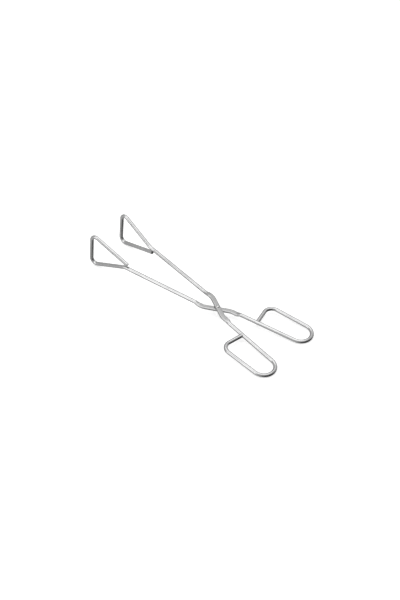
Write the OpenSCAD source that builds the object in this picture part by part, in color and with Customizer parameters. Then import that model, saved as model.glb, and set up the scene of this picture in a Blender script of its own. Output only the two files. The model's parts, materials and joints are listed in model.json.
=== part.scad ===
// Wire crucible tongs: two identical bent rods, one turned over, crossing at a riveted pivot.
// Each half is drawn flat in its own frame: pivot at the origin, handles towards +X, rivet along Z.
// The assembly then lies on its bench plane (Z = 0), on its two jaws and its two finger loops.

/* [Rod] */
// Diameter of the round rod that both halves are bent from
rod_d = 4.8; // [4:0.1:6]

/* [Reach] */
// From the pivot to the outside of the jaw bars
jaw_reach = 186.5; // [140:1:230]
// From the pivot to the outside of the finger loops
handle_reach = 119.5; // [100:1:160]

/* [Jaws] */
// Height of a jaw between the corners of its centre line
jaw_height = 50.5; // [36:0.1:60]
// Length of a jaw's triangle, from the bend where the arm rises to its upright bar
jaw_length = 53.5; // [42:0.5:66]
// Bend radius of the two jaw corners, at the rod's centre
jaw_corner_r = 6.7; // [6:0.1:9]
// Bend radius where the arm rises into the jaw
jaw_rise_r = 20; // [12:1:28]
// Angle by which each jaw is turned in from its arm
jaw_toe_in = 3.5; // [0:0.1:8]
// How far the rod's free end runs back past the bend at the arm
tail_overrun = 3; // [0:0.5:9]
// Clear gap between the rod's free end and the arm
tail_gap = 0.6; // [0.3:0.1:2]

/* [Lap] */
// Angle between the lap that crosses the pivot and the jaw arm
lap_angle = 22.3; // [14:0.1:28]
// Angle by which the handle arm is splayed out from the line of the jaw arm
handle_splay = 1.5; // [0:0.1:4]
// From the pivot to the shoulder where the lap turns into the jaw arm
lap_jaw = 18; // [14:0.5:24]
// From the pivot to the shoulder where the lap turns into the handle arm
lap_handle = 16.5; // [14:0.5:24]
// Bend radius of the jaw shoulder
jaw_shoulder_r = 20; // [14:1:30]
// Bend radius of the handle shoulder
handle_shoulder_r = 16; // [10:1:24]
// Thickness of the rod where it is pressed flat
flat_t = 3; // [2.4:0.1:3.6]
// Length of flat that runs on past the jaw shoulder
jaw_flat_overrun = 1; // [0.5:0.5:5]
// Length of flat that runs on past the handle shoulder
handle_flat_overrun = 5.5; // [2:0.5:7]
// Length over which the flat fades back into the round rod of the jaw arm
jaw_fade = 8; // [3:0.5:10]
// Length over which the flat fades back into the round rod of the handle arm
handle_fade = 5; // [3:0.5:10]

/* [Finger loops] */
// Clear width inside a finger loop at its round end
loop_gap = 24; // [18:0.1:30]
// From the pivot to the centre line of the loop's front leg, along the arm
loop_front = 49; // [42:0.5:58]
// Angle by which the loop's outer run flares away from the arm
loop_flare = 4.8; // [0:0.5:6]
// Lean of the front leg from square to the arm
leg_lean = 2.6; // [0:0.5:6]
// How deep the leg's end is let into the side of the arm
leg_let_in = 1; // [0.6:0.1:1.4]
// Bend radius of the loop's front corner, at the rod's centre
loop_corner_r = 10.5; // [8:0.5:12]

/* [Pivot rivet] */
// Diameter of the rivet's shank
rivet_d = 3.2; // [2.5:0.1:3.6]
// Diameter of the two rivet heads
head_d = 4.8; // [4.4:0.1:6.4]
// Height of a rivet head
head_h = 1.5; // [0.8:0.1:1.8]
// Radial clearance of the shank in the half that turns on it
shank_clearance = 0.05; // [0.02:0.01:0.1]
// Gap between the two flats, and between the lower flat and the rivet's tail head
flat_clearance = 0.1; // [0.05:0.01:0.3]

/* [Stance] */
// Half of the angle between the two jaw arms, as the tongs lie
spread = 7.8; // [1:0.1:30]

/* [Hidden] */
$fn = 48;

// Length of a corner that a bend of radius r takes up on each side
function tangent(r, turn) = r * tan(abs(turn) / 2);

// Worked-out angles are set to a hundredth of a degree, as a bending drawing gives them
function tidy_angle(a) = round(a * 100) / 100;

// Bends and fades are drawn fuller than the rod by a hair, and the straight runs reach a little
// way into them, so that neighbouring pieces always overlap cleanly
fullness = 0.02;
reach_in = 0.2;

// Pressed flat: same cross-section area as the round rod, with round edges
rod_r = rod_d / 2;
flat_w = (PI * rod_r * rod_r - PI * flat_t * flat_t / 4) / flat_t + flat_t;
flat_z = (flat_t + flat_clearance) / 2;

// Jaw triangle, in its own upright plane: distance from the arm's bend, then height
tail_length = jaw_length + tail_overrun;
tail_drop = rod_d + tail_gap;
rise_angle = tidy_angle(atan(jaw_height / 2 / jaw_length));
tail_angle = tidy_angle(atan((jaw_height / 2 - tail_drop) / tail_length));
top_turn = 90 + rise_angle;
bottom_turn = 90 + tail_angle;
rise_run = jaw_length / cos(rise_angle) - tangent(jaw_rise_r, rise_angle)
    - tangent(jaw_corner_r, top_turn);
bar_run = jaw_height - tangent(jaw_corner_r, top_turn) - tangent(jaw_corner_r, bottom_turn);
tail_run = tail_length / cos(tail_angle) - tangent(jaw_corner_r, bottom_turn);

// Jaw arm, from the lap's shoulder to the corner where the jaw is turned in
// A short straight run parts the toe-in bend from the rise, which turns in another plane
jaw_arm_y = lap_jaw * sin(lap_angle);
bend_gap = 1;
toe_run = tangent(jaw_rise_r, jaw_toe_in) + bend_gap + tangent(jaw_rise_r, rise_angle);
toe_corner_x = jaw_reach - rod_r - (toe_run + jaw_length) * cos(jaw_toe_in);
jaw_arm_run = toe_corner_x - lap_jaw * cos(lap_angle) - tangent(jaw_shoulder_r, lap_angle)
    - tangent(jaw_rise_r, jaw_toe_in) - jaw_flat_overrun - jaw_fade;

// Handle arm and finger loop, in a frame turned to the line of the handle arm
handle_lap_angle = lap_angle - handle_splay;
handle_arm_y = -lap_handle * sin(handle_lap_angle);
loop_r = (loop_gap + rod_d) / 2;
loop_x = handle_reach - rod_r - loop_r;
loop_turn = 180 - loop_flare;
front_turn = 90 + loop_flare + leg_lean;
handle_arm_run = loop_x - lap_handle * cos(handle_lap_angle)
    - tangent(handle_shoulder_r, handle_lap_angle) - handle_flat_overrun - handle_fade;
// The outer run starts where the round turn ends, and would meet the leg in a sharp corner
outer_start_x = loop_x - loop_r * sin(loop_flare);
outer_start_depth = loop_r * (1 + cos(loop_flare));
outer_length = (outer_start_x - loop_front + outer_start_depth * tan(leg_lean))
    / (cos(loop_flare) - sin(loop_flare) * tan(leg_lean));
leg_length = (outer_start_depth + outer_length * sin(loop_flare)) / cos(leg_lean);
outer_run = outer_length - tangent(loop_corner_r, front_turn);
// The leg's end is let into the side of the arm, where it is welded
leg_run = leg_length - tangent(loop_corner_r, front_turn) - rod_r + leg_let_in;

// Centres of a jaw's lowest bend and of a loop's round end, in the pivot's frame as the tongs lie
jaw_bend_reach = toe_run + jaw_length - jaw_corner_r;
jaw_bend_u = toe_corner_x + jaw_bend_reach * cos(jaw_toe_in);
jaw_bend_v = jaw_arm_y - jaw_bend_reach * sin(jaw_toe_in);
jaw_bend_x = -jaw_bend_u * cos(spread) + jaw_bend_v * sin(spread);
jaw_bend_depth = jaw_height / 2 - tangent(jaw_corner_r, bottom_turn);
handle_angle = spread + handle_splay;
loop_end_x = loop_x * cos(handle_angle) + (handle_arm_y - loop_r) * sin(handle_angle);

// Stance: the pivot's plane tips until the jaws and the loops meet the bench together
stance_length = loop_end_x + loop_r - jaw_bend_x;
stance = atan(jaw_bend_depth / stance_length)
    + asin(jaw_corner_r / sqrt(stance_length * stance_length + jaw_bend_depth * jaw_bend_depth));
bend_rod_r = rod_r + fullness;
lift = (loop_end_x + loop_r) * sin(stance) + bend_rod_r;
jaw_face = norm([cos(stance) * cos(spread - jaw_toe_in), sin(stance)]);
x_max = (loop_end_x + loop_r) * cos(stance) + bend_rod_r;
x_min = jaw_bend_x * cos(stance) - jaw_bend_depth * sin(stance) - jaw_corner_r * jaw_face
    - bend_rod_r;

// Section of the round rod, or of its flat at the height it has in the upper half
module section(flat, extra = 0) {
    if (flat)
        translate([0, flat_z]) {
            square([flat_w - flat_t, flat_t + 2 * extra], center = true);
            for (side = [-1, 1])
                translate([side * (flat_w - flat_t) / 2, 0]) circle(r = flat_t / 2 + extra);
        }
    else
        circle(r = rod_r + extra);
}

module bar(length, flat = false, extra = 0) {
    rotate([90, 0, 90]) linear_extrude(length) section(flat, extra);
}

// Steps along the rod: each draws its piece from the origin along +X, and moves its children
// to the piece's far end. Bends turn in the XY plane, to the left when turn is positive.
module run(length, flat = false) {
    translate([-reach_in, 0, 0]) bar(length + 2 * reach_in, flat);
    translate([length, 0, 0]) children();
}

module bend(radius, turn, flat = false) {
    side = turn < 0 ? -1 : 1;
    mirror([0, (1 - side) / 2, 0])
        translate([0, radius, 0])
            rotate([0, 0, -90])
                rotate_extrude(angle = abs(turn))
                    translate([radius, 0]) section(flat, fullness);
    translate([0, side * radius, 0])
        rotate([0, 0, turn])
            translate([0, -side * radius, 0])
                children();
}

// Fades the flat into the round rod
module fade(length) {
    hull() {
        bar(2 * reach_in, true, 2 * fullness, $fn = 32);
        translate([length - 2 * reach_in, 0, 0])
            bar(2 * reach_in, false, 2 * fullness, $fn = 32);
    }
    translate([length, 0, 0]) children();
}

// Turns what follows into the upright plane through the rod, so that a left bend rises
module upright() {
    rotate([90, 0, 0]) children();
}

// From the pivot along the lap and the jaw arm, up and round the jaw to the free end
module jaw_side() {
    run(lap_jaw - tangent(jaw_shoulder_r, lap_angle), flat = true)
        bend(jaw_shoulder_r, lap_angle, flat = true)
            run(jaw_flat_overrun, flat = true)
                fade(jaw_fade)
                    run(jaw_arm_run)
                        bend(jaw_rise_r, jaw_toe_in)
                            run(bend_gap)
                                upright()
                                    bend(jaw_rise_r, rise_angle)
                                        run(rise_run)
                                            jaw_loop();
}

module jaw_loop() {
    bend(jaw_corner_r, -top_turn)
        run(bar_run)
            bend(jaw_corner_r, -bottom_turn)
                run(tail_run);
}

// From the pivot along the lap and the handle arm, round the finger loop and back to the arm
module handle_side() {
    run(lap_handle - tangent(handle_shoulder_r, handle_lap_angle), flat = true)
        bend(handle_shoulder_r, handle_lap_angle, flat = true)
            run(handle_flat_overrun, flat = true)
                fade(handle_fade)
                    run(handle_arm_run)
                        bend(loop_r, -loop_turn)
                            run(outer_run)
                                bend(loop_corner_r, -front_turn)
                                    run(leg_run);
}

// One half in its own frame, with the bore for the rivet
module half(bore_d) {
    difference() {
        union() {
            rotate([0, 0, 180 - lap_angle]) jaw_side();
            rotate([0, 0, -lap_angle]) handle_side();
        }
        cylinder(d = bore_d, h = 4 * rod_d, center = true);
    }
}

// Lays a piece drawn in the pivot's frame down on the bench
module lie() {
    translate([-(x_min + x_max) / 2, 0, lift])
        rotate([0, stance, 0])
            children();
}

module upper_half() {
    color("silver")
        lie() rotate([0, 0, -spread]) half(rivet_d);
}

module lower_half() {
    color("silver")
        lie() rotate([180, 0, 0]) rotate([0, 0, -spread]) half(rivet_d + 2 * shank_clearance);
}

// Shank with a low domed head on each side; the lower head turns against the lower flat
module pivot_rivet() {
    top = flat_clearance / 2 + flat_t;
    bottom = -top - flat_clearance;
    color("gainsboro")
        lie() {
            translate([0, 0, bottom]) cylinder(d = rivet_d, h = top - bottom);
            translate([0, 0, top]) dome();
            translate([0, 0, bottom]) mirror([0, 0, 1]) dome();
        }
}

module dome() {
    ball_r = (head_d * head_d / 4 + head_h * head_h) / (2 * head_h);
    intersection() {
        translate([0, 0, head_h - ball_r]) sphere(r = ball_r);
        cylinder(d = 2 * head_d, h = 2 * head_h);
    }
}

upper_half();
lower_half();
pivot_rivet();
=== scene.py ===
"""Wire crucible tongs: two bent halves of drawn steel rod on a domed rivet, in a plain studio."""

import json
import math

import bmesh
import bpy
from bpy.props import FloatProperty, FloatVectorProperty, IntProperty, PointerProperty
from bpy.types import Operator, Panel, PropertyGroup
from mathutils import Matrix, Vector, noise


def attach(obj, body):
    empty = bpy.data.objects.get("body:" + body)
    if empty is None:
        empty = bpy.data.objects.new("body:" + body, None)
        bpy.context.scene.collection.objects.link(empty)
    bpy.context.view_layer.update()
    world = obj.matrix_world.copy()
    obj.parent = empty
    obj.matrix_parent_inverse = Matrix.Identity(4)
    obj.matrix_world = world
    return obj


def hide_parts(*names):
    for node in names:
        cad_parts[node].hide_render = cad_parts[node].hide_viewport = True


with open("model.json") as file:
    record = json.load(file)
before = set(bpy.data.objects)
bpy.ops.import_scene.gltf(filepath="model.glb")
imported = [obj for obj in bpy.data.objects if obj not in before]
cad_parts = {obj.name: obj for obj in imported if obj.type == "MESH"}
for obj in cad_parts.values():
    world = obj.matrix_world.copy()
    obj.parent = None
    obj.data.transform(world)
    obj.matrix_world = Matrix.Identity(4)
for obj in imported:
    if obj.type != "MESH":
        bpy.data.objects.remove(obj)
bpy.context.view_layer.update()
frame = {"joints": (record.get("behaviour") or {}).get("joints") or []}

bl_info = {
    "name": "Crucible Tongs",
    "version": (1, 0, 0),
    "blender": (4, 5, 0),
    "location": "3D View > Sidebar > Tongs",
    "description": "Bends, welds and rivets a pair of wire crucible tongs on their packed frame",
    "category": "Add Mesh",
}

# The rivet's place and line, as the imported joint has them
pivot_joint = frame["joints"][0]
PIVOT = Vector(pivot_joint["pos_m"])
PIVOT_AXIS = Vector(pivot_joint["axis"]).normalized()
STANCE = math.atan2(PIVOT_AXIS.x, PIVOT_AXIS.z)

# Where on the round section its flat faces and its round edges begin, as shares of the radius
FACE_FROM = 0.8
EDGE_FROM = 0.6

FEWEST_FACES = 100  # a piece with fewer has failed to build
DARK_SIDE = Vector((0.93, -0.05, -0.35)).normalized()
LOW_BACK = Vector((-0.45, 0.6, -0.66)).normalized()
CAMERA_AIM = Vector((0.003145, 0.005139, 0.002198))


# ---------------------------------------------------------------- sizes and colours

def length(name, description, millimetres, low, high):
    return FloatProperty(name=name, description=description, default=millimetres / 1000,
                         min=low / 1000, max=high / 1000, precision=5, unit="LENGTH", subtype="DISTANCE")


def angle(name, description, degrees, low, high):
    return FloatProperty(name=name, description=description, default=math.radians(degrees),
                         min=math.radians(low), max=math.radians(high), unit="ROTATION", subtype="ANGLE")


def share(name, description, default, high=1.0):
    return FloatProperty(name=name, description=description, default=default, min=0, max=high,
                         subtype="FACTOR" if high == 1.0 else "NONE")


def colour(name, description, default):
    return FloatVectorProperty(name=name, description=description, default=default, size=3,
                               min=0, max=1, subtype="COLOR")


class TongsRodSizes(PropertyGroup):
    diameter: length("Rod diameter", "Diameter of the round rod", 4.8, 4, 6)
    flat_thickness: length("Flat thickness", "Thickness where the rod is pressed flat", 3, 2.4, 3.6)
    jaw_flat: length("Jaw flat overrun", "Length of flat past the jaw shoulder", 1, 0.5, 5)
    handle_flat: length("Handle flat overrun", "Length of flat past the handle shoulder", 5.5, 2, 7)
    jaw_fade: length("Jaw fade", "Length over which the flat fades into the jaw arm", 8, 3, 10)
    handle_fade: length("Handle fade", "Length over which the flat fades into the handle arm", 5, 3, 10)
    cut_edge: length("Cut edge", "Rounding of the rod's cut end", 0.35, 0.1, 0.8)
    spacing: length("Station spacing", "Distance between rings on a straight run", 2, 0.5, 5)
    facets: IntProperty(name="Facets", description="Faces round the rod", default=60, min=24, max=96)


class TongsLapSizes(PropertyGroup):
    lap_angle: angle("Lap angle", "Angle between the lap and the jaw arm", 22.3, 14, 28)
    handle_splay: angle("Handle splay", "Angle of the handle arm to the jaw arm", 1.5, 0, 4)
    to_jaw: length("Lap to jaw", "From the pivot to the jaw shoulder", 18, 14, 24)
    to_handle: length("Lap to handle", "From the pivot to the handle shoulder", 16.5, 14, 24)
    jaw_shoulder: length("Jaw shoulder radius", "Bend radius of the jaw shoulder", 20, 14, 30)
    handle_shoulder: length("Handle shoulder radius", "Bend radius of the handle shoulder", 16, 10, 24)
    clearance: length("Flat clearance", "Gap between the two flats", 0.1, 0.05, 0.3)
    spread: angle("Spread", "Half of the angle between the jaw arms", 7.8, 1, 30)


class TongsJawSizes(PropertyGroup):
    reach: length("Jaw reach", "From the pivot to the outside of the jaw bars", 186.5, 140, 230)
    height: length("Jaw height", "Height of a jaw between its corners", 50.5, 36, 60)
    span: length("Jaw length", "From the rise to the upright bar", 53.5, 42, 66)
    corner: length("Corner radius", "Bend radius of the two jaw corners", 6.7, 6, 9)
    rise: length("Rise radius", "Bend radius where the arm rises into the jaw", 20, 12, 28)
    toe_in: angle("Toe-in", "Angle by which the jaw is turned in", 3.5, 0, 8)
    toe_gap: length("Toe gap", "Straight rod between the toe-in and the rise", 1, 0.5, 3)
    tail_overrun: length("Tail overrun", "Free end's run past the rise", 3, 0, 9)
    tail_gap: length("Tail gap", "Gap between the free end and the arm", 0.6, 0.3, 2)


class TongsLoopSizes(PropertyGroup):
    reach: length("Handle reach", "From the pivot to the outside of the loops", 119.5, 100, 160)
    gap: length("Loop gap", "Clear width inside a loop's round end", 24, 18, 30)
    front: length("Loop front", "From the pivot to the loop's front leg", 49, 42, 58)
    flare: angle("Loop flare", "Angle of the outer run to the arm", 4.8, 0, 6)
    lean: angle("Leg lean", "Lean of the front leg", 2.6, 0, 6)
    let_in: length("Leg let in", "Depth of the leg's end in the arm", 1, 0.6, 1.4)
    corner: length("Loop corner radius", "Bend radius of the front corner", 10.5, 8, 12)
    weld: length("Weld bead", "Radius of the fillet round the leg's end", 0.42, 0.2, 0.8)


class TongsRivetSizes(PropertyGroup):
    shank: length("Shank diameter", "Diameter of the rivet's shank", 3.2, 2.5, 3.6)
    head: length("Head diameter", "Diameter of the two heads", 4.8, 4.4, 6.4)
    dome: length("Dome height", "Height of a head", 1.5, 0.8, 1.8)
    clearance: length("Shank clearance", "Gap round the shank in the lower half", 0.05, 0.02, 0.1)
    dent: length("Hammer marks", "Depth of the dents left by setting the rivet", 0.03, 0, 0.1)


class TongsFinish(PropertyGroup):
    bright: colour("Bright steel", "Colour of the drawn rod", (0.70, 0.70, 0.70))
    dull: colour("Dull steel", "Colour of its dull patches", (0.58, 0.58, 0.585))
    pressed: colour("Pressed steel", "Colour of the pressed flats", (0.56, 0.56, 0.56))
    rivet: colour("Rivet steel", "Colour of the rivet", (0.72, 0.72, 0.715))
    polish: share("Roughness", "Roughness of the drawn rod", 0.17)
    die_lines: length("Die lines", "Depth of the lines left by the drawing die", 0.004, 0, 0.02)


class TongsStudio(PropertyGroup):
    floor: colour("Floor", "Colour of the pale floor", (0.9, 0.9, 0.9))
    floor_glow: share("Floor glow", "Light given off by the floor", 0.55)
    overhead: share("Overhead softbox", "Brightness of the softbox overhead", 0.88, 5)
    front: share("Front panel", "Brightness of the panel at the front left", 1.0, 5)
    back: share("Back panel", "Brightness of the panel behind", 0.25, 5)
    room: share("Room", "Brightness of the grey room", 0.52, 5)
    dark_side: share("Dark side", "Brightness of the room's dark side", 0.05, 5)
    low_back: share("Low back", "Brightness of the room low down behind the tongs", 0.14, 5)
    azimuth: angle("Azimuth", "Turn of the camera round the tongs", 38.825, -180, 180)
    elevation: angle("Elevation", "Height of the camera above the horizon", 42.75, 0, 90)
    roll: angle("Roll", "Roll of the camera", 0.813, -5, 5)
    distance: length("Distance", "From the camera to what it looks at", 1671, 300, 5000)
    lens: FloatProperty(name="Lens", description="Focal length on a 36 mm frame", default=81.17,
                        min=20, max=300, unit="CAMERA")


class TongsSettings(PropertyGroup):
    rod: PointerProperty(type=TongsRodSizes)
    lap: PointerProperty(type=TongsLapSizes)
    jaw: PointerProperty(type=TongsJawSizes)
    loop: PointerProperty(type=TongsLoopSizes)
    rivet: PointerProperty(type=TongsRivetSizes)
    finish: PointerProperty(type=TongsFinish)
    studio: PointerProperty(type=TongsStudio)


# ---------------------------------------------------------------- sums in a node tree

class Wire:
    """A value in a node tree, so that the tree's sums can be written as sums."""

    def __init__(self, tree, socket):
        self.tree = tree
        self.socket = socket

    @property
    def is_vector(self):
        return self.socket.type in {"VECTOR", "RGBA"}

    def math(self, operation, *others, clamp=False):
        """A Math or Vector Math node on this value and others, and its result."""
        vector = self.is_vector or any(
            isinstance(other, Vector) or isinstance(other, Wire) and other.is_vector for other in others)
        node = self.tree.nodes.new("ShaderNodeVectorMath" if vector else "ShaderNodeMath")
        node.operation = operation
        if not vector:
            node.use_clamp = clamp
        for socket, value in zip(node.inputs, (self, *others)):
            feed(self.tree, socket, value)
        scalar = vector and operation in {"DOT_PRODUCT", "LENGTH", "DISTANCE"}
        return Wire(self.tree, node.outputs["Value"] if scalar else node.outputs[0])

    def scaled(self, factor):
        node = self.tree.nodes.new("ShaderNodeVectorMath")
        node.operation = "SCALE"
        feed(self.tree, node.inputs[0], self)
        feed(self.tree, node.inputs["Scale"], factor)
        return Wire(self.tree, node.outputs[0])

    def __add__(self, other):
        return self.math("ADD", other)

    def __sub__(self, other):
        return self.math("SUBTRACT", other)

    def __mul__(self, other):
        return self.math("MULTIPLY", other)

    def __truediv__(self, other):
        return self.math("DIVIDE", other)

    def kept_within(self, low, high):
        return self.math("MAXIMUM", low).math("MINIMUM", high)


def feed(tree, socket, value):
    """Links a Wire to a socket, or sets the socket to a plain value."""
    if isinstance(value, Wire):
        tree.links.new(value.socket, socket)
    else:
        socket.default_value = value


def add(tree, kind, settings=None, **sockets):
    """A new node. Its settings go in a dict, and its sockets are named with _ for a space."""
    node = tree.nodes.new(kind)
    for key, value in (settings or {}).items():
        setattr(node, key, value)
    for name, value in sockets.items():
        feed(tree, node.inputs[name.replace("_", " ")], value)
    return node


def out(tree, node, name=0):
    return Wire(tree, node.outputs[name])


def attribute_wire(tree, name, kind="FLOAT"):
    node = add(tree, "GeometryNodeInputNamedAttribute", {"data_type": kind}, Name=name)
    return out(tree, node, "Attribute")


def grouped(name, inputs):
    """A geometry tree with these named inputs, and its input wires by name."""
    tree = bpy.data.node_groups.new(name, "GeometryNodeTree")
    tree.interface.new_socket("Geometry", in_out="INPUT", socket_type="NodeSocketGeometry")
    for label, kind in inputs.items():
        tree.interface.new_socket(label, in_out="INPUT", socket_type=kind)
    tree.interface.new_socket("Geometry", in_out="OUTPUT", socket_type="NodeSocketGeometry")
    entry = tree.nodes.new("NodeGroupInput")
    return tree, {socket.name: Wire(tree, socket) for socket in entry.outputs if socket.name}


def finish_tree(tree, geometry, material):
    """Ends a geometry tree: instances made real, material set."""
    real = add(tree, "GeometryNodeRealizeInstances", Geometry=geometry)
    coat = add(tree, "GeometryNodeSetMaterial", Geometry=out(tree, real), Material=material)
    feed(tree, tree.nodes.new("NodeGroupOutput").inputs[0], out(tree, coat))


def shade(tree, geometry, crease):
    """Smooth faces, with edges steeper than crease left sharp."""
    smooth = add(tree, "GeometryNodeSetShadeSmooth", {"domain": "FACE"}, Geometry=geometry, Shade_Smooth=True)
    edge_angle = out(tree, tree.nodes.new("GeometryNodeInputMeshEdgeAngle"), "Unsigned Angle")
    steep = edge_angle.math("GREATER_THAN", crease)
    sharp = add(tree, "GeometryNodeSetShadeSmooth", {"domain": "EDGE"}, Geometry=out(tree, smooth),
                Selection=steep, Shade_Smooth=False)
    return out(tree, sharp)


# ---------------------------------------------------------------- geometry trees

def drawn_rod_tree():
    """Sweeps a rod along its stations, presses its flat, lets its leg into its arm and bores it."""
    tree, given = grouped("Drawn rod", {
        "Rod Diameter": "NodeSocketFloat", "Flat Thickness": "NodeSocketFloat",
        "Flat Width": "NodeSocketFloat", "Flat Lift": "NodeSocketFloat",
        "Bore Diameter": "NodeSocketFloat", "Pivot": "NodeSocketVector", "Axis": "NodeSocketVector",
        "Facets": "NodeSocketInt", "Material": "NodeSocketMaterial"})
    radius = given["Rod Diameter"] / 2.0
    axis = given["Axis"]

    # The path carries where its centre is and how far along it is; the section carries its angle
    path = out(tree, add(tree, "GeometryNodeMeshToCurve", Mesh=given["Geometry"]))
    keep = tree.nodes.new("GeometryNodeCaptureAttribute")
    keep.capture_items.new("VECTOR", "Centre")
    keep.capture_items.new("FLOAT", "Along")
    feed(tree, keep.inputs["Geometry"], path)
    feed(tree, keep.inputs["Centre"], out(tree, tree.nodes.new("GeometryNodeInputPosition")))
    feed(tree, keep.inputs["Along"], out(tree, tree.nodes.new("GeometryNodeSplineParameter"), "Length"))
    ring = add(tree, "GeometryNodeCurvePrimitiveCircle", {"mode": "RADIUS"}, Resolution=given["Facets"],
               Radius=radius)
    turn = tree.nodes.new("GeometryNodeCaptureAttribute")
    turn.capture_items.new("FLOAT", "Turn")
    feed(tree, turn.inputs["Geometry"], out(tree, ring, "Curve"))
    feed(tree, turn.inputs["Turn"], out(tree, tree.nodes.new("GeometryNodeSplineParameter"), "Factor"))
    swept = add(tree, "GeometryNodeCurveToMesh", Curve=out(tree, keep, "Geometry"), Fill_Caps=True,
                Profile_Curve=out(tree, turn, "Geometry"), Scale=attribute_wire(tree, "girth"))

    # Where a point is on the drawn skin: its side of the rod as a cosine and a sine, then its run
    bearing = out(tree, turn, "Turn") * math.tau
    skin = add(tree, "ShaderNodeCombineXYZ", X=bearing.math("COSINE"), Y=bearing.math("SINE"),
               Z=out(tree, keep, "Along"))
    marked = add(tree, "GeometryNodeStoreNamedAttribute", {"data_type": "FLOAT_VECTOR", "domain": "POINT"},
                 Geometry=out(tree, swept), Name="rod", Value=out(tree, skin))

    # Pressing: the round section becomes a bar with round edges, on one side of the rod's line
    place = out(tree, tree.nodes.new("GeometryNodeInputPosition"))
    centre = out(tree, keep, "Centre")
    outward = place - centre
    height = outward.math("DOT_PRODUCT", axis)
    across = outward - axis.scaled(height)
    half_thickness = given["Flat Thickness"] / 2.0
    half_straight = (given["Flat Width"] - given["Flat Thickness"]) / 2.0
    rise = (height / radius * (1 / FACE_FROM)).kept_within(-1.0, 1.0)
    sideways = (across.math("LENGTH") / radius / EDGE_FROM).kept_within(0.0, 1.0)
    round_edge = (rise * rise * -1.0 + 1.0).math("SQRT")
    new_across = across.math("NORMALIZE").scaled(half_straight * sideways + half_thickness * round_edge)
    pressed = centre + new_across + axis.scaled(half_thickness * rise + given["Flat Lift"])
    shift = (pressed - place).scaled(attribute_wire(tree, "press"))
    flattened = add(tree, "GeometryNodeSetPosition", Geometry=out(tree, marked), Offset=shift)

    # One fused solid, with the rivet's bore through its flat
    drill = add(tree, "GeometryNodeMeshCylinder", Vertices=64, Radius=given["Bore Diameter"] / 2.0,
                Depth=given["Rod Diameter"] * 4.0)
    aim = add(tree, "FunctionNodeAlignRotationToVector", {"axis": "Z"}, Vector=axis)
    aimed = add(tree, "GeometryNodeTransform", Geometry=out(tree, drill), Translation=given["Pivot"],
                Rotation=out(tree, aim))
    bored = add(tree, "GeometryNodeMeshBoolean", {"operation": "DIFFERENCE", "solver": "EXACT"},
                Self_Intersection=True)
    feed(tree, bored.inputs["Mesh 1"], out(tree, flattened))
    feed(tree, bored.inputs["Mesh 2"], out(tree, aimed))
    finish_tree(tree, shade(tree, out(tree, bored), math.radians(38)), given["Material"])
    return tree


def weld_bead_tree():
    """A fillet of melted steel along a closed seam, thicker and thinner along its run."""
    tree, given = grouped("Weld bead", {
        "Bead Radius": "NodeSocketFloat", "Ripple": "NodeSocketFloat", "Seed": "NodeSocketFloat",
        "Material": "NodeSocketMaterial"})
    seam = out(tree, add(tree, "GeometryNodeMeshToCurve", Mesh=given["Geometry"]))
    run = out(tree, tree.nodes.new("GeometryNodeInputPosition"))
    lumps = add(tree, "ShaderNodeTexNoise", {"noise_dimensions": "4D"}, Vector=run, W=given["Seed"],
                Scale=900.0, Detail=2.0)
    girth = (out(tree, lumps) - 0.5) * given["Ripple"] + 1.0
    ring = add(tree, "GeometryNodeCurvePrimitiveCircle", {"mode": "RADIUS"}, Resolution=14,
               Radius=given["Bead Radius"])
    bead = add(tree, "GeometryNodeCurveToMesh", Curve=seam, Profile_Curve=out(tree, ring, "Curve"),
               Scale=girth)
    finish_tree(tree, shade(tree, out(tree, bead), math.radians(60)), given["Material"])
    return tree


def socket_key(tree, label):
    """The identifier of a tree's input socket."""
    return next(item.identifier for item in tree.interface.items_tree
                if item.item_type == "SOCKET" and item.in_out == "INPUT" and item.name == label)


def made_by(context, name, tree, inputs, path):
    """A plain mesh object: a geometry tree run on a path, its modifier then taken off."""
    piece = bpy.data.objects.new(name, path)
    context.scene.collection.objects.link(piece)
    shaping = piece.modifiers.new("Shaping", "NODES")
    shaping.node_group = tree
    for label, value in inputs.items():
        shaping[socket_key(tree, label)] = value
    graph = context.evaluated_depsgraph_get()
    solid = bpy.data.meshes.new_from_object(piece.evaluated_get(graph), preserve_all_data_layers=True,
                                            depsgraph=graph)
    piece.modifiers.remove(shaping)
    piece.data = solid
    solid.name = name
    bpy.data.meshes.remove(path)
    if len(solid.polygons) < FEWEST_FACES:
        raise RuntimeError(f"{name} came out with only {len(solid.polygons)} faces")
    return piece


# ---------------------------------------------------------------- the rod's line

def corner_length(radius, turn):
    """Length of a corner that a bend takes up on each side."""
    return radius * math.tan(abs(turn) / 2)


def tidy(turn):
    """An angle to a hundredth of a degree, as on the bending drawing."""
    return math.radians(round(math.degrees(turn) * 100) / 100)


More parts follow.
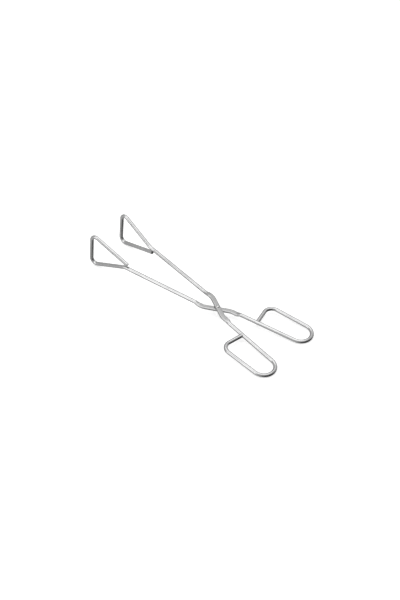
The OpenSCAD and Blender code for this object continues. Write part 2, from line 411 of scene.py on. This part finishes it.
class RodWalk:
    """Walks along a rod's centre line and notes a station at every step."""

    def __init__(self, heading, rod):
        self.at = Vector((0, 0, 0))
        self.facing = Matrix.Rotation(heading, 3, "Z")
        self.rod = rod
        self.stations = []

    def note(self, ahead, side=0.0, press=0.0, bend=0.0, girth=1.0):
        where = self.at + self.facing @ Vector((ahead, side, 0))
        self.stations.append({"at": where, "press": press, "bend": bend, "girth": girth})

    def straight(self, run, press=(0.0, 0.0), last=0.0):
        """A straight run. last is the rounding of a cut end, if the rod ends here."""
        steps = max(1, math.ceil((run - last) / self.rod.spacing))
        for step in range(steps):
            part = step / steps
            eased = part * part * (3 - 2 * part)
            self.note((run - last) * part, press=press[0] + (press[1] - press[0]) * eased)
        if last:
            for step in range(6):
                sweep = math.pi / 2 * step / 5
                inset = last * (1 - math.cos(sweep))
                self.note(run - last * (1 - math.sin(sweep)), girth=1 - inset / (self.rod.diameter / 2))
        self.at = self.at + self.facing @ Vector((run, 0, 0))

    def turned(self, radius, turn, press=0.0):
        """A bend, to the left when turn is positive."""
        steps = max(4, math.ceil(abs(turn) / math.radians(3)))
        side = math.copysign(1, turn)
        tightness = min(1.0, 1.5 * self.rod.diameter / radius)
        for step in range(steps):
            swept = abs(turn) * step / steps
            self.note(radius * math.sin(swept), side * radius * (1 - math.cos(swept)), press=press,
                      bend=tightness * math.sin(math.pi * step / steps) ** 0.5)
        ahead, aside = radius * math.sin(abs(turn)), side * radius * (1 - math.cos(turn))
        self.at = self.at + self.facing @ Vector((ahead, aside, 0))
        self.facing = self.facing @ Matrix.Rotation(turn, 3, "Z")

    def upright(self):
        """Turns what follows into the upright plane through the rod."""
        self.facing = self.facing @ Matrix.Rotation(math.pi / 2, 3, "X")


def jaw_side(tongs):
    """From the pivot along the lap and the jaw arm, up and round the jaw to the free end."""
    rod, lap, jaw = tongs.rod, tongs.lap, tongs.jaw
    rise = tidy(math.atan(jaw.height / 2 / jaw.span))
    drop = rod.diameter + jaw.tail_gap
    tail_length = jaw.span + jaw.tail_overrun
    tail = tidy(math.atan((jaw.height / 2 - drop) / tail_length))
    top_turn, bottom_turn = math.pi / 2 + rise, math.pi / 2 + tail
    toe_run = corner_length(jaw.rise, jaw.toe_in) + jaw.toe_gap + corner_length(jaw.rise, rise)
    toe_corner = jaw.reach - rod.diameter / 2 - (toe_run + jaw.span) * math.cos(jaw.toe_in)
    arm = (toe_corner - lap.to_jaw * math.cos(lap.lap_angle)
           - corner_length(lap.jaw_shoulder, lap.lap_angle)
           - corner_length(jaw.rise, jaw.toe_in) - rod.jaw_flat - rod.jaw_fade)

    walk = RodWalk(math.pi - lap.lap_angle, rod)
    walk.straight(lap.to_jaw - corner_length(lap.jaw_shoulder, lap.lap_angle), press=(1, 1))
    walk.turned(lap.jaw_shoulder, lap.lap_angle, press=1)
    walk.straight(rod.jaw_flat, press=(1, 1))
    walk.straight(rod.jaw_fade, press=(1, 0))
    walk.straight(arm)
    walk.turned(jaw.rise, jaw.toe_in)
    walk.straight(jaw.toe_gap)
    walk.upright()
    walk.turned(jaw.rise, rise)
    walk.straight(jaw.span / math.cos(rise) - corner_length(jaw.rise, rise)
                  - corner_length(jaw.corner, top_turn))
    walk.turned(jaw.corner, -top_turn)
    walk.straight(jaw.height - corner_length(jaw.corner, top_turn) - corner_length(jaw.corner, bottom_turn))
    walk.turned(jaw.corner, -bottom_turn)
    walk.straight(tail_length / math.cos(tail) - corner_length(jaw.corner, bottom_turn), last=rod.cut_edge)
    return walk


def handle_side(tongs):
    """From the pivot along the lap and the handle arm, round the finger loop and back to the arm.
    Also gives the arm's own line, as a point on it and its heading."""
    rod, lap, loop = tongs.rod, tongs.lap, tongs.loop
    lap_turn = lap.lap_angle - lap.handle_splay
    radius = (loop.gap + rod.diameter) / 2
    end = loop.reach - rod.diameter / 2 - radius
    front_turn = math.pi / 2 + loop.flare + loop.lean
    arm = (end - lap.to_handle * math.cos(lap_turn) - corner_length(lap.handle_shoulder, lap_turn)
           - rod.handle_flat - rod.handle_fade)
    outer_start = end - radius * math.sin(loop.flare)
    depth = radius * (1 + math.cos(loop.flare))
    outer = ((outer_start - loop.front + depth * math.tan(loop.lean))
             / (math.cos(loop.flare) - math.sin(loop.flare) * math.tan(loop.lean)))
    leg = (depth + outer * math.sin(loop.flare)) / math.cos(loop.lean)

    walk = RodWalk(-lap.lap_angle, rod)
    walk.straight(lap.to_handle - corner_length(lap.handle_shoulder, lap_turn), press=(1, 1))
    walk.turned(lap.handle_shoulder, lap_turn, press=1)
    walk.straight(rod.handle_flat, press=(1, 1))
    walk.straight(rod.handle_fade, press=(1, 0))
    arm_line = walk.at.copy(), walk.facing @ Vector((1, 0, 0))
    walk.straight(arm)
    walk.turned(radius, loop.flare - math.pi)
    walk.straight(outer - corner_length(loop.corner, front_turn))
    walk.turned(loop.corner, -front_turn)
    walk.straight(leg - corner_length(loop.corner, front_turn) - rod.diameter / 2 + loop.let_in)
    walk.note(0)
    return walk, arm_line


def half_place(tongs, turned_over):
    """Carries a half from its own frame, with the pivot at its origin, to where it lies."""
    lie = Matrix.Translation(PIVOT) @ Matrix.Rotation(STANCE, 4, "Y")
    if turned_over:
        lie = lie @ Matrix.Rotation(math.pi, 4, "X")
    return lie @ Matrix.Rotation(-tongs.lap.spread, 4, "Z")


def path_mesh(name, points, closed=False):
    mesh = bpy.data.meshes.new(name)
    links = [(i, i + 1) for i in range(len(points) - 1)]
    if closed:
        links.append((len(points) - 1, 0))
    mesh.from_pydata([tuple(p) for p in points], links, [])
    return mesh


def weld_seam(tongs):
    """The closed line where a loop's leg meets its arm, in the half's own frame."""
    walk, (arm_at, arm_along) = handle_side(tongs)
    radius = tongs.rod.diameter / 2
    end = walk.at
    back = -(walk.facing @ Vector((1, 0, 0)))
    up = Vector((0, 0, 1))
    aside = up.cross(back)
    from_arm = up.cross(arm_along)
    if from_arm.dot(end - arm_at) < 0:
        from_arm = -from_arm
    seam = []
    for step in range(72):
        bearing = math.tau * step / 72
        rim = end + aside * (radius * math.cos(bearing)) + up * (radius * math.sin(bearing))
        now = (rim - arm_at).dot(from_arm)
        arm_skin = math.sqrt(max(0.0, radius ** 2 - rim.z ** 2))
        seam.append(rim + back * (max(0.0, arm_skin - now) / back.dot(from_arm)))
    return seam


# ---------------------------------------------------------------- finishes

def shader(name):
    """A material with only its surface shader, and its tree."""
    material = bpy.data.materials.new(name)
    material.use_nodes = True
    tree = material.node_tree
    tree.nodes.clear()
    surface = tree.nodes.new("ShaderNodeBsdfPrincipled")
    tree.links.new(surface.outputs[0], tree.nodes.new("ShaderNodeOutputMaterial").inputs["Surface"])
    return material, tree, surface


def grain(tree, where, scale, detail=2.0, roughness=0.5):
    return out(tree, add(tree, "ShaderNodeTexNoise", Vector=where, Scale=scale, Detail=detail,
                         Roughness=roughness))


def spread_out(tree, value, low, high, to_low=0.0, to_high=1.0):
    node = add(tree, "ShaderNodeMapRange", {"clamp": True}, Value=value)
    for socket, number in zip(node.inputs[1:5], (low, high, to_low, to_high)):
        socket.default_value = number
    return out(tree, node)


def blended(tree, factor, first, second):
    node = tree.nodes.new("ShaderNodeMix")
    node.data_type = "RGBA"
    feed(tree, node.inputs[0], factor)
    feed(tree, node.inputs[6], first)
    feed(tree, node.inputs[7], second)
    return out(tree, node, 2)


def surface_attribute(tree, name, output):
    return out(tree, add(tree, "ShaderNodeAttribute", {"attribute_name": name}), output)


def drawn_steel(finish):
    """Bright drawn rod: die lines along its run, duller bends, satin where it is pressed."""
    material, tree, surface = shader("Drawn steel")
    skin = surface_attribute(tree, "rod", "Vector")
    press = surface_attribute(tree, "press", "Fac")
    bend = surface_attribute(tree, "bend", "Fac")
    where = out(tree, tree.nodes.new("ShaderNodeTexCoord"), "Object")

    lines = grain(tree, skin * Vector((1, 1, 1.6)), 17.0, 3.0, 0.6)
    draw = grain(tree, skin * Vector((0.5, 0.5, 26)), 1.6, 2.0)
    handling = grain(tree, where, 55.0, 3.0, 0.55)
    mottle = grain(tree, where, 620.0, 2.0)
    peel = grain(tree, where, 1500.0, 1.0)

    dull = spread_out(tree, draw * 0.6 + handling * 0.4, 0.42, 0.62)
    body = blended(tree, dull, (*finish.bright, 1), (*finish.dull, 1))
    body = blended(tree, press, body, (*finish.pressed, 1))
    feed(tree, surface.inputs["Base Color"], body)
    rough = (lines - 0.5) * 0.10 + spread_out(tree, handling, 0.4, 0.7, 0.0, 0.06) + finish.polish
    rough = rough + bend * 0.05 + press * ((mottle - 0.5) * 0.12 + 0.12)
    feed(tree, surface.inputs["Roughness"], rough)

    height = lines * finish.die_lines + bend * peel * 0.000002 + press * mottle * 0.000012
    relief = add(tree, "ShaderNodeBump", Strength=1.0, Distance=1.0, Height=height)
    feed(tree, surface.inputs["Normal"], out(tree, relief))
    surface.inputs["Metallic"].default_value = 1.0
    return material


def rivet_steel(finish):
    """The rivet: bright, with the marks of the setting hammer on its heads."""
    material, tree, surface = shader("Rivet steel")
    where = out(tree, tree.nodes.new("ShaderNodeTexCoord"), "Object")
    blows = add(tree, "ShaderNodeTexVoronoi", {"feature": "SMOOTH_F1"}, Vector=where, Scale=1100.0,
                Smoothness=0.4)
    facets = out(tree, blows, "Distance")
    scuff = grain(tree, where, 900.0, 3.0, 0.6)
    body = blended(tree, spread_out(tree, scuff, 0.45, 0.7), (*finish.rivet, 1), (*finish.dull, 1))
    feed(tree, surface.inputs["Base Color"], body)
    feed(tree, surface.inputs["Roughness"], (scuff - 0.5) * 0.12 + 0.20)
    relief = add(tree, "ShaderNodeBump", Strength=1.0, Distance=1.0,
                 Height=facets * 0.00004 + scuff * 0.000006)
    feed(tree, surface.inputs["Normal"], out(tree, relief))
    surface.inputs["Metallic"].default_value = 1.0
    return material


def weld_steel(finish):
    """The weld's fillet: ground back and a little duller than the rod."""
    material, tree, surface = shader("Weld steel")
    where = out(tree, tree.nodes.new("ShaderNodeTexCoord"), "Object")
    scale = grain(tree, where, 1300.0, 3.0, 0.6)
    feed(tree, surface.inputs["Base Color"], blended(tree, scale, (*finish.bright, 1), (*finish.pressed, 1)))
    feed(tree, surface.inputs["Roughness"], scale * 0.2 + 0.18)
    relief = add(tree, "ShaderNodeBump", Strength=1.0, Distance=1.0, Height=scale * 0.00003)
    feed(tree, surface.inputs["Normal"], out(tree, relief))
    surface.inputs["Metallic"].default_value = 1.0
    return material


# ---------------------------------------------------------------- operators

HALVES = {"upper": False, "lower": True}  # the CAD body, and whether its half is turned over


class TONGS_OT_bend_halves(Operator):
    """Bend both halves from drawn rod, press their flats and bore them for the rivet"""
    bl_idname = "tongs.bend_halves"
    bl_label = "Bend the halves"

    def execute(self, context):
        tongs = context.scene.tongs
        rod, rivet = tongs.rod, tongs.rivet
        radius = rod.diameter / 2
        flat = rod.flat_thickness
        flat_width = (math.pi * (radius ** 2 - flat ** 2 / 4)) / flat + flat
        tree = drawn_rod_tree()
        steel = drawn_steel(tongs.finish)
        for body, turned_over in HALVES.items():
            place = half_place(tongs, turned_over)
            outward = handle_side(tongs)[0].stations
            stations = jaw_side(tongs).stations[:0:-1] + outward
            path = path_mesh(body + "_line", [place @ station["at"] for station in stations])
            for key in ("press", "bend", "girth"):
                values = [station[key] for station in stations]
                path.attributes.new(key, "FLOAT", "POINT").data.foreach_set("value", values)
            half = made_by(context, body + "_rod", tree, {
                "Rod Diameter": rod.diameter, "Flat Thickness": flat,
                "Flat Width": flat_width, "Flat Lift": (flat + tongs.lap.clearance) / 2,
                "Bore Diameter": rivet.shank + (2 * rivet.clearance if turned_over else 0.0),
                "Pivot": PIVOT, "Axis": (-PIVOT_AXIS if turned_over else PIVOT_AXIS),
                "Facets": rod.facets, "Material": steel}, path)
            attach(half, body)
            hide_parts(body + "_half")
        return {"FINISHED"}


class TONGS_OT_weld_legs(Operator):
    """Weld the front leg of each finger loop to its arm"""
    bl_idname = "tongs.weld_legs"
    bl_label = "Weld the legs"

    def execute(self, context):
        tongs = context.scene.tongs
        tree = weld_bead_tree()
        steel = weld_steel(tongs.finish)
        for seed, (body, turned_over) in enumerate(HALVES.items()):
            place = half_place(tongs, turned_over)
            path = path_mesh(body + "_seam", [place @ point for point in weld_seam(tongs)], closed=True)
            weld = made_by(context, body + "_leg_weld", tree, {
                "Bead Radius": tongs.loop.weld, "Ripple": 0.5, "Seed": 3.0 + seed, "Material": steel}, path)
            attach(weld, body)
        return {"FINISHED"}


class TONGS_OT_set_rivet(Operator):
    """Set the pivot rivet, with a low domed head on each side"""
    bl_idname = "tongs.set_rivet"
    bl_label = "Set the rivet"

    def execute(self, context):
        tongs = context.scene.tongs
        rivet = tongs.rivet
        top = tongs.lap.clearance / 2 + tongs.rod.flat_thickness
        bottom = -top - tongs.lap.clearance
        rim, edge = rivet.head / 2, 0.00012
        ball = (rim ** 2 + rivet.dome ** 2) / (2 * rivet.dome)

        # Half of the section, from the top of one head to the top of the other
        head = []
        for step in range(15):
            out_to = (rim - edge) * math.sin(math.pi / 2 * step / 14)
            head.append((out_to, rivet.dome - ball + math.sqrt(ball ** 2 - out_to ** 2)))
        head += [(rim, edge * 0.9), (rim - edge * 0.3, edge * 0.2), (rim - edge, 0.0), (rim * 0.8, 0.0)]
        section = [(r, top + z) for r, z in head] + [(rivet.shank / 2, top), (rivet.shank / 2, bottom)]
        section += [(r, bottom - z) for r, z in reversed(head)]

        shell = bmesh.new()
        ring = [shell.verts.new((r, 0, z)) for r, z in section]
        lines = [shell.edges.new(pair) for pair in zip(ring, ring[1:])]
        bmesh.ops.spin(shell, geom=ring + lines, cent=(0, 0, 0), axis=(0, 0, 1), angle=math.tau, steps=56)
        bmesh.ops.remove_doubles(shell, verts=shell.verts, dist=1e-6)
        for vert in shell.verts:
            off = Vector((vert.co.x, vert.co.y)).length
            if (vert.co.z > top + edge or vert.co.z < bottom - edge) and off < rim * 0.97:
                blow = noise.noise(vert.co * 900) * 0.6 + noise.noise(vert.co * 2100) * 0.4
                sink = rivet.dent * max(0.0, 0.5 + blow)
                vert.co.z += -sink if vert.co.z > 0 else sink
        bmesh.ops.recalc_face_normals(shell, faces=shell.faces)
        for face in shell.faces:
            face.smooth = True
        for seam in shell.edges:
            if len(seam.link_faces) == 2 and seam.calc_face_angle(0) > math.radians(40):
                seam.smooth = False
        mesh = bpy.data.meshes.new("pivot_rivet_set")
        shell.to_mesh(mesh)
        shell.free()
        mesh.transform(Matrix.Translation(PIVOT) @ Matrix.Rotation(STANCE, 4, "Y"))
        mesh.materials.append(rivet_steel(tongs.finish))
        piece = bpy.data.objects.new("pivot_rivet_set", mesh)
        context.scene.collection.objects.link(piece)
        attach(piece, "upper")
        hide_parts("pivot_rivet")
        return {"FINISHED"}


class TONGS_OT_set_studio(Operator):
    """Set up the pale floor, the soft lights and the camera"""
    bl_idname = "tongs.set_studio"
    bl_label = "Set up the studio"

    def panel(self, context, name, width, height, at, towards, brightness):
        """A soft light: a lit rectangle of that brightness, facing a point."""
        light = bpy.data.lights.new(name, "AREA")
        light.shape = "RECTANGLE"
        light.size, light.size_y = width, height
        light.energy = brightness * math.pi * width * height
        lamp = bpy.data.objects.new(name, light)
        context.scene.collection.objects.link(lamp)
        lamp.location = at
        lamp.rotation_mode = "QUATERNION"
        lamp.rotation_quaternion = (Vector(towards) - Vector(at)).to_track_quat("-Z", "Y")
        lamp.visible_camera = False

    def room(self, context, studio):
        """A grey room with a dark side, seen in the steel; the camera sees plain pale walls."""
        world = bpy.data.worlds.new("Studio")
        context.scene.world = world
        world.use_nodes = True
        tree = world.node_tree
        tree.nodes.clear()
        towards = out(tree, tree.nodes.new("ShaderNodeTexCoord"), "Generated")
        dark = towards.math("DOT_PRODUCT", DARK_SIDE)
        tone = spread_out(tree, dark, 0.3, 0.85, 1.0, studio.dark_side / studio.room)
        low = towards.math("DOT_PRODUCT", LOW_BACK)
        tone = tone * spread_out(tree, low, 0.6, 0.93, studio.room, studio.low_back)
        grey = add(tree, "ShaderNodeCombineColor", Red=tone, Green=tone, Blue=tone)
        seen = add(tree, "ShaderNodeBackground", Color=(1, 1, 1, 1), Strength=1.0)
        lit = add(tree, "ShaderNodeBackground", Color=out(tree, grey), Strength=1.0)
        pick = tree.nodes.new("ShaderNodeMixShader")
        feed(tree, pick.inputs[0], out(tree, tree.nodes.new("ShaderNodeLightPath"), "Is Camera Ray"))
        feed(tree, pick.inputs[1], out(tree, lit))
        feed(tree, pick.inputs[2], out(tree, seen))
        feed(tree, tree.nodes.new("ShaderNodeOutputWorld").inputs["Surface"], out(tree, pick))

    def execute(self, context):
        studio = context.scene.tongs.studio
        context.scene.view_settings.view_transform = "Standard"

        side = 6.0
        mesh = bpy.data.meshes.new("floor")
        corners = [(-side, -side, 0), (side, -side, 0), (side, side, 0), (-side, side, 0)]
        mesh.from_pydata(corners, [], [(0, 1, 2, 3)])
        floor = bpy.data.objects.new("floor", mesh)
        context.scene.collection.objects.link(floor)
        material, tree, surface = shader("Pale floor")
        surface.inputs["Base Color"].default_value = (*studio.floor, 1)
        surface.inputs["Roughness"].default_value = 0.9
        surface.inputs["Specular IOR Level"].default_value = 0.0
        surface.inputs["Emission Color"].default_value = (1, 1, 1, 1)
        surface.inputs["Emission Strength"].default_value = studio.floor_glow
        mesh.materials.append(material)
        floor.visible_glossy = False

        self.room(context, studio)
        self.panel(context, "Overhead", 2.0, 2.0, (-0.1, 0.1, 1.6), (0, 0, 0), studio.overhead)
        self.panel(context, "Front left", 1.3, 2.0, (-0.75, -1.75, 0.75), (0, 0, 0.02), studio.front)
        self.panel(context, "Back", 1.6, 1.2, (-0.3, 2.0, 0.6), (0, 0, 0.02), studio.back)

        camera = bpy.data.objects.new("camera", bpy.data.cameras.new("camera"))
        context.scene.collection.objects.link(camera)
        context.scene.camera = camera
        camera.data.lens = studio.lens
        camera.data.sensor_width = 36
        camera.data.clip_end = 50
        turn, up = studio.azimuth, studio.elevation
        back = Vector((math.sin(turn) * math.cos(up), -math.cos(turn) * math.cos(up), math.sin(up)))
        camera.rotation_mode = "QUATERNION"
        level = (-back).to_track_quat("-Z", "Y")
        camera.rotation_quaternion = level @ Matrix.Rotation(studio.roll, 3, "Z").to_quaternion()
        camera.location = CAMERA_AIM + back * studio.distance
        return {"FINISHED"}


class TONGS_PT_sidebar(Panel):
    """The tongs' sizes and colours, and the operators that build them"""
    bl_idname = "TONGS_PT_sidebar"
    bl_label = "Crucible Tongs"
    bl_space_type = "VIEW_3D"
    bl_region_type = "UI"
    bl_category = "Tongs"

    def draw(self, context):
        tongs = context.scene.tongs
        for title, part in (("Rod", "rod"), ("Lap", "lap"), ("Jaws", "jaw"), ("Finger loops", "loop"),
                            ("Rivet", "rivet"), ("Finish", "finish"), ("Studio", "studio")):
            box = self.layout.box()
            box.label(text=title)
            group = getattr(tongs, part)
            for key in group.__annotations__:
                box.prop(group, key)
        for step in STEPS:
            self.layout.operator(step.bl_idname)


STEPS = (TONGS_OT_bend_halves, TONGS_OT_weld_legs, TONGS_OT_set_rivet, TONGS_OT_set_studio)
CLASSES = (TongsRodSizes, TongsLapSizes, TongsJawSizes, TongsLoopSizes, TongsRivetSizes, TongsFinish,
           TongsStudio, TongsSettings, *STEPS, TONGS_PT_sidebar)


def register():
    for item in CLASSES:
        bpy.utils.register_class(item)
    bpy.types.Scene.tongs = PointerProperty(type=TongsSettings)


def unregister():
    del bpy.types.Scene.tongs
    for item in reversed(CLASSES):
        bpy.utils.unregister_class(item)


def main():
    register()
    bpy.ops.tongs.bend_halves()
    bpy.ops.tongs.weld_legs()
    bpy.ops.tongs.set_rivet()
    bpy.ops.tongs.set_studio()


if __name__ == "__main__":
    main()
